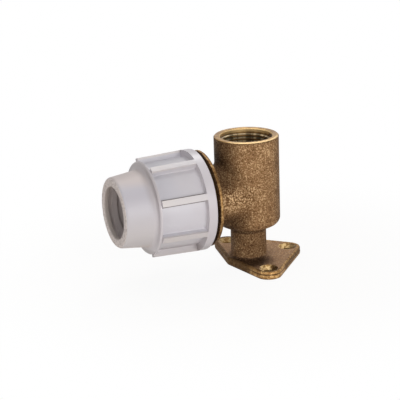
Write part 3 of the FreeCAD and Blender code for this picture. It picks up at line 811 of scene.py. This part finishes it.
def moulded_finish(name, colours, size, roughness, shade_of=None):
    """Two near colours in clouds of a given size, painted shade where a mask is given, and a fine bump."""
    material, shader, place = new_finish(name)
    clouds = noise(place, size)
    colour = blend_colours(rise(clouds, *INNER_CLOUD_LEVEL), *colours)
    if shade_of:
        colour = blend_colours(shade_of(*axes_of(place)), colour, RING_SHADE)
    feed(
        shader,
        Base_Color=colour,
        Roughness=roughness + 0.15 * clouds,
        Normal=bump(noise(place, size / GRAINS_PER_CLOUD), INNER_GRAIN_DEPTH),
    )
    return material


ring_plastic = moulded_finish(
    "ring_plastic", (RING_PALE, RING_CLOUD), RING_CLOUD_SIZE, RING_ROUGHNESS, shaded_teeth)
rubber = moulded_finish(
    "black_rubber", (RUBBER_BLACK, RUBBER_BLOOM), RUBBER_CLOUD_SIZE, RUBBER_ROUGHNESS)
print("inner finishes:", ring_plastic.name, rubber.name)

# %% [markdown]
# Each solid of the packed part now gets its finish. The solids' meshes stay as they are: only their list of
# materials changes, so the shapes that show are the packed ones.

# %% Dress the solids
node_finish = {
    "elbow_body": cast_brass,
    "compression_nut": plastic,
    "grip_ring": ring_plastic,
    "thrust_ring": ring_plastic,
    "o_ring": rubber,
}
for name, finish in node_finish.items():
    mesh = frame["nodes"][name].data
    mesh.materials.clear()
    mesh.materials.append(finish)
    print(name, "wears", finish.name)

# %% [markdown]
# New pieces are grids of points. One direction of the grid runs round a closed cross-section, the other
# carries that section along a path. The path may close on itself, as round a rim, or end, and then a flat
# cap closes each end. The sign of the volume that the faces enclose tells whether they point outwards.

# %% Grid to mesh
SHARP_ANGLE = math.radians(38)


def add_piece(name, points, path_closes, body, finish):
    """Join a grid of points, one row per section, into a closed mesh that rides on a body."""
    rows, columns = points.shape[:2]
    here = np.arange(rows * columns).reshape(rows, columns)
    around = np.roll(here, -1, axis=1)
    quads = np.stack([here, around, np.roll(around, -1, axis=0), np.roll(here, -1, axis=0)], axis=-1)
    quads = (quads if path_closes else quads[:-1]).reshape(-1, 4)
    caps = np.empty((0, columns), int) if path_closes else np.stack([here[0, ::-1], here[-1]])
    corners = points.reshape(-1, 3)
    a, b, c, d = np.moveaxis((corners - corners.mean(axis=0))[quads], 1, 0)
    if np.sum(a * np.cross(b, c)) + np.sum(a * np.cross(c, d)) < 0:
        quads, caps = quads[:, ::-1], caps[:, ::-1]
    mesh = bpy.data.meshes.new(name)
    mesh.from_pydata(corners.tolist(), [], quads.tolist() + caps.tolist())
    mesh.shade_smooth()
    mesh.set_sharp_from_angle(angle=SHARP_ANGLE)
    mesh.materials.append(finish)
    piece = bpy.data.objects.new(name, mesh)
    bpy.context.scene.collection.objects.link(piece)
    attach(piece, body)
    print(name, "has", 2 * len(quads), "triangles and rides on", body)
    return piece


print("edges sharper than", round(math.degrees(SHARP_ANGLE)), "degrees stay sharp")

# %% [markdown]
# A screw thread is a ridge carried along a helix. Blender's Screw modifier can wind a profile too, but it
# can't fade the ridge out at its ends, so the corners of the ridge are worked out for every step of the
# turn. The ridges stand in the solids' plain bores and on the plain spigot, their feet sunk in the wall.

# %% Thread ridges
STEPS_PER_TURN = 96
RUN_OUT_TURN = 0.35
SINK = 0.25 * MM
PIPE_CENTRE = np.array([0, 0, PIPE_AXIS_HEIGHT])
ALONG_SOCKET = (np.zeros(3), np.array([1.0, 0, 0]), np.array([0, 1.0, 0]), np.array([0, 0, 1.0]))
ALONG_PIPE = (PIPE_CENTRE, np.array([0, 0, 1.0]), np.array([0, 1.0, 0]), np.array([-1.0, 0, 0]))


def turn_path(centre, across, side, along, angle, radius, height):
    """Points at a height along an axis and a radius from it, at an angle from across towards side."""
    outward = np.cos(angle)[..., None] * across + np.sin(angle)[..., None] * side
    return centre + radius[..., None] * outward + height[..., None] * along


def thread_sections(root, crest, pitch, foot_width, crest_width, start, end):
    """The angle, radius and height of a ridge's six corners at each step of the turn.

    The height climbs by a pitch each turn. The top goes from the sunk foot to the crest, times a fade that
    is 0 at both ends of the thread and 3 t^2 - 2 t^3 at the share t of a run-out.
    """
    turns = (end - start) / pitch
    turn = np.linspace(0, turns, int(turns * STEPS_PER_TURN))[:, None]
    fade = np.clip(np.minimum(turn, turns - turn) / RUN_OUT_TURN, 0, 1)
    into_wall = SINK * np.sign(root - crest)
    sunk = root + into_wall
    top = sunk + (crest - sunk) * fade * fade * (3 - 2 * fade)
    foot = np.full_like(turn, sunk)
    radius = np.hstack([foot + into_wall, foot, top, top, foot, foot + into_wall])
    half_widths = np.array([-foot_width, -foot_width, -crest_width, crest_width, foot_width, foot_width]) / 2
    height = start + pitch * turn + half_widths
    angle = np.broadcast_to(2 * np.pi * turn, height.shape)
    return angle, radius, height


print("a thread has", STEPS_PER_TURN, "steps a turn and fades out over", RUN_OUT_TURN, "of a turn")

# %% [markdown]
# The socket's thread is the pipe thread that a tap screws into. It starts a little above the bottom of the
# bore and ends below the plain lead-in at the mouth, as the cutting tool leaves it. A Boolean modifier could
# cut a true groove, but it would change the solid, so the ridge is a piece of its own.

# %% Socket thread
SOCKET_PITCH = 1.814 * MM
SOCKET_CREST_RADIUS = 12.06 * MM
SOCKET_FOOT_WIDTH = 1.55 * MM
SOCKET_CREST_WIDTH = 0.45 * MM
SOCKET_THREAD_START = SOCKET_BOTTOM + 1.0 * MM
SOCKET_THREAD_END = SOCKET_MOUTH - LEAD_IN
SOCKET_DARK_RADIUS = THREAD_ROOT_RADIUS - 0.2 * MM
SOCKET_PALE_RADIUS = SOCKET_CREST_RADIUS + 0.25 * MM

angle, radius, height = thread_sections(
    THREAD_ROOT_RADIUS, SOCKET_CREST_RADIUS, SOCKET_PITCH, SOCKET_FOOT_WIDTH, SOCKET_CREST_WIDTH,
    SOCKET_THREAD_START, SOCKET_THREAD_END)
socket_thread_brass = thread_finish(
    "socket_thread_brass", from_socket_axis, SOCKET_DARK_RADIUS, SOCKET_PALE_RADIUS)
add_piece("socket_thread", turn_path(*ALONG_SOCKET, angle, radius, height), False,
          "body", socket_thread_brass)

# %% [markdown]
# The joint has a coarse thread on the brass spigot and another in the nut. One mesh for both would be
# simpler, but the nut's ridge has to turn and back off with it, so it rides on the nut. It starts half a
# pitch further along, so that the two ridges stand side by side and never touch.

# %% Joint threads
JOINT_PITCH = 4.0 * MM
JOINT_FOOT_WIDTH = 2.2 * MM
JOINT_CREST_WIDTH = 1.1 * MM
SPIGOT_ROOT_RADIUS = 18.7 * MM
SPIGOT_CREST_RADIUS = 20.1 * MM
SPIGOT_THREAD_START = 32.6 * MM
SPIGOT_THREAD_END = 46.0 * MM
NUT_ROOT_RADIUS = 20.4 * MM
NUT_CREST_RADIUS = 19.0 * MM
NUT_THREAD_START = SPIGOT_THREAD_START + JOINT_PITCH / 2
NUT_THREAD_END = 49.2 * MM

angle, radius, height = thread_sections(
    SPIGOT_ROOT_RADIUS, SPIGOT_CREST_RADIUS, JOINT_PITCH, JOINT_FOOT_WIDTH, JOINT_CREST_WIDTH,
    SPIGOT_THREAD_START, SPIGOT_THREAD_END)
spigot_thread_brass = thread_finish(
    "spigot_thread_brass", from_pipe_axis, SPIGOT_ROOT_RADIUS, SPIGOT_CREST_RADIUS)
add_piece("spigot_thread", turn_path(*ALONG_PIPE, angle, radius, height), False,
          "body", spigot_thread_brass)

angle, radius, height = thread_sections(
    NUT_ROOT_RADIUS, NUT_CREST_RADIUS, JOINT_PITCH, JOINT_FOOT_WIDTH, JOINT_CREST_WIDTH,
    NUT_THREAD_START, NUT_THREAD_END)
add_piece("nut_thread", turn_path(*ALONG_PIPE, angle, radius, height), False,
          "nut", plastic)

# %% [markdown]
# The rim of the flange disc is not turned, so it keeps the casting's uneven edge: thicker here, worn there.
# A displacement modifier would need a dense mesh everywhere, so a ring is carried round the disc instead,
# and a sum of a few waves moves its corners in and out.

# %% Flange rim
RIM_STEPS = 360
RIM_SECTION = np.array([
    [22.8, 24.75], [23.25, 24.44], [23.75, 24.46], [24.1, 24.7], [24.22, 25.1],
    [24.24, 25.6], [24.18, 26.1], [23.95, 26.4], [23.5, 26.52], [22.8, 26.3],
]) * MM
RIM_LOOSE_START = 23.3 * MM
RIM_LOOSE_WIDTH = 0.7 * MM
RIM_SWELL = 0.05 * MM
RIM_SLOW_WAVE = 0.16 * MM
RIM_FAST_WAVE = 0.10 * MM
RIM_DENT = 0.08 * MM


def waves(angle, counts, seed):
    """A closed uneven line from -1 to 1: the mean of sines with whole numbers of waves a turn."""
    offsets = np.random.default_rng(seed).uniform(0, 2 * np.pi, len(counts))
    heights = np.sin(angle[..., None] * np.array(counts) + offsets)
    return heights.mean(axis=-1)


turn = np.linspace(0, 2 * np.pi, RIM_STEPS, endpoint=False)[:, None]
loose = np.clip((RIM_SECTION[:, 0] - RIM_LOOSE_START) / RIM_LOOSE_WIDTH, 0, 1)
uneven = RIM_SLOW_WAVE * waves(turn, (5, 11, 23), 3) + RIM_FAST_WAVE * waves(turn, (37, 61, 83), 4)
radius = RIM_SECTION[:, 0] + loose * (RIM_SWELL + uneven)
height = RIM_SECTION[:, 1] - loose * RIM_DENT * np.abs(waves(turn, (7, 17, 29), 5))
angle = np.broadcast_to(turn, radius.shape)
print("the rim is uneven by", round(float(np.ptp(radius.max(axis=1))) / MM, 2), "mm")

# %% [markdown]
# The rim is gold, brightest at the front and the back of the disc at the pipe's height and partly darker
# above and below. Its two sides face the branch and the nut across narrow gaps, and painted shade darkens
# them. The mask reads the distance along the pipe for the sides and the height for the rest.

# %% Rim finish
RIM_BACK_SIDE = (FLANGE_BACK, FLANGE_BACK + 0.5 * MM)
RIM_NUT_SIDE = (FLANGE_FRONT - 0.7 * MM, FLANGE_FRONT - 0.3 * MM)
RIM_DARKER_OFF_MIDDLE = (5 * MM, 16 * MM)
RIM_TOP_LESS_DARK = (13 * MM, 20 * MM)


def rim_darkening(x, y, z):
    """Painted shade on the rim's two sides in the gaps, and partly dark above and below."""
    along = x * -1
    up = z - PIPE_AXIS_HEIGHT
    sides = larger(fall(along, *RIM_BACK_SIDE), rise(along, *RIM_NUT_SIDE))
    off_middle = rise(unsigned(up), *RIM_DARKER_OFF_MIDDLE) * (1 - 0.55 * rise(up, *RIM_TOP_LESS_DARK))
    return larger(sides, 0.2 + 0.46 * off_middle)


rim_brass = edge_finish("rim_brass", rim_darkening)
add_piece("flange_rim", turn_path(*ALONG_PIPE, angle, radius, height), True,
          "body", rim_brass)

# %% [markdown]
# The plate's outline is the tightest band round four circles: one at each screw and one at the nose under
# the branch. Arcs and tangent lines could be joined by hand. But a band's outermost point in any direction
# lies on the circle that reaches furthest that way, which gives the whole outline as one formula.

# %% Plate outline
CORNER_RADIUS = 6.5 * MM
NOSE_CIRCLE = (-4.0 * MM, 0.0, 8.0 * MM)
PLATE_CIRCLES = np.array([(*screw, CORNER_RADIUS) for screw in SCREW_PLACES] + [NOSE_CIRCLE])
EDGE_STEPS = 480
SWEEP_STEPS = 20 * EDGE_STEPS


def band_round(circles, steps):
    """Points evenly spaced along the tightest band round some circles, and the outward direction at each:
    in a direction n, the furthest point is c + r n on the circle where c . n + r is largest."""
    sweep = np.linspace(0, 2 * np.pi, SWEEP_STEPS)
    outward = np.stack([np.cos(sweep), np.sin(sweep)], axis=-1)
    reach = outward @ circles[:, :2].T + circles[:, 2]
    furthest = circles[np.argmax(reach, axis=1)]
    line = furthest[:, :2] + furthest[:, 2:] * outward
    travelled = np.append(0, np.cumsum(np.hypot(*np.diff(line, axis=0).T)))
    even = np.linspace(0, travelled[-1], steps, endpoint=False)
    turned = np.interp(even, travelled, sweep)
    places = np.stack([np.interp(even, travelled, axis) for axis in line.T], axis=-1)
    return places, np.stack([np.cos(turned), np.sin(turned)], axis=-1)


outline, outward = band_round(PLATE_CIRCLES, EDGE_STEPS)
print("plate outline", np.round(np.ptp(outline, axis=0) / MM, 1), "mm")

# %% [markdown]
# The plate was cast between two halves of a mould, so its edge has a low lip round the top face and a seam
# part way down the side. A bevel on the solid would be too clean. The lip and the seam are one section,
# carried along the outline and made uneven by waves like the rim's.

# %% Plate edge
EDGE_SECTION = np.array([
    [-1.70, 3.30], [-1.55, 3.80], [-1.15, 3.98], [-0.65, 3.96], [-0.20, 3.72], [0.06, 3.30],
    [0.14, 2.80], [0.04, 2.30], [0.02, 2.05], [0.16, 1.70], [0.20, 1.10], [0.14, 0.50], [-0.05, 0.10],
    [-0.50, 0.08], [-0.80, 1.50],
]) * MM
EDGE_WAVE = 0.05 * MM
EDGE_LOOSE_OFFSET = -0.3 * MM
LIP_LOOSE_START = 3.4 * MM
LIP_LOOSE_WIDTH = 0.4 * MM

turn = np.linspace(0, 2 * np.pi, EDGE_STEPS, endpoint=False)[:, None]
uneven = EDGE_WAVE * waves(turn, (7, 19, 43), 6) + EDGE_WAVE * waves(turn, (71, 97, 131), 7)
lift = np.clip((EDGE_SECTION[:, 1] - LIP_LOOSE_START) / LIP_LOOSE_WIDTH, 0, 1)
offset = EDGE_SECTION[:, 0] + uneven * (EDGE_SECTION[:, 0] > EDGE_LOOSE_OFFSET)
edge_xy = outline[:, None, :] + offset[..., None] * outward[:, None, :]
edge_z = EDGE_SECTION[:, 1] + lift * uneven
edge_points = np.concatenate([edge_xy, edge_z[..., None]], axis=-1)
print("the lip stands", round(float(edge_z.max() - PLATE_THICKNESS) / MM, 2), "mm above the plate")

# %% [markdown]
# The plate's edge gets painted shade, darkest in the seam and along the foot. Only the near corner and the
# side away from the nut are left bright, as painted highlights. Painted weights would need a dense mesh, so
# the highlight is a mask round that corner and along that side.

# %% Plate edge finish
SEAM_HEIGHT = 2.4 * MM
SEAM_REACH = (0.15 * MM, 0.6 * MM)
LIT_CORNER = (6 * MM, 12 * MM)
LIT_LIP_HEIGHT = (3.3 * MM, 3.7 * MM)
LIT_LOW_HEIGHT = (1.2 * MM, 1.7 * MM)
LIT_LIP_X = (2 * MM, 6 * MM)
LIP_TOP = (3.80 * MM, 3.92 * MM)
PLATE_FOOT = (0.2 * MM, 0.8 * MM)


def plate_edge_shade(x, y, z):
    """Painted shade: dark in the seam, at the foot and all over, but lit at the near corner and the side off
    the nut.
    """
    seam = fall(unsigned(z - SEAM_HEIGHT), *SEAM_REACH)
    lit_corner = fall(length_of(x - side_screw_x, y + side_screw_y), *LIT_CORNER)
    lit_lip = larger(rise(z, *LIT_LIP_HEIGHT), 0.7 * fall(z, *LIT_LOW_HEIGHT)) * rise(x, *LIT_LIP_X)
    plain = (1 - lit_corner) * (0.74 - 0.4 * lit_lip)
    on_top = 0.5 * lit_corner * rise(z, *LIP_TOP)
    return larger(plain, on_top, 0.75 * seam, 0.7 * fall(z, *PLATE_FOOT))


plate_edge_brass = edge_finish("plate_edge_brass", plate_edge_shade)
add_piece("plate_edge", edge_points, True, "body", plate_edge_brass)

# %% [markdown]
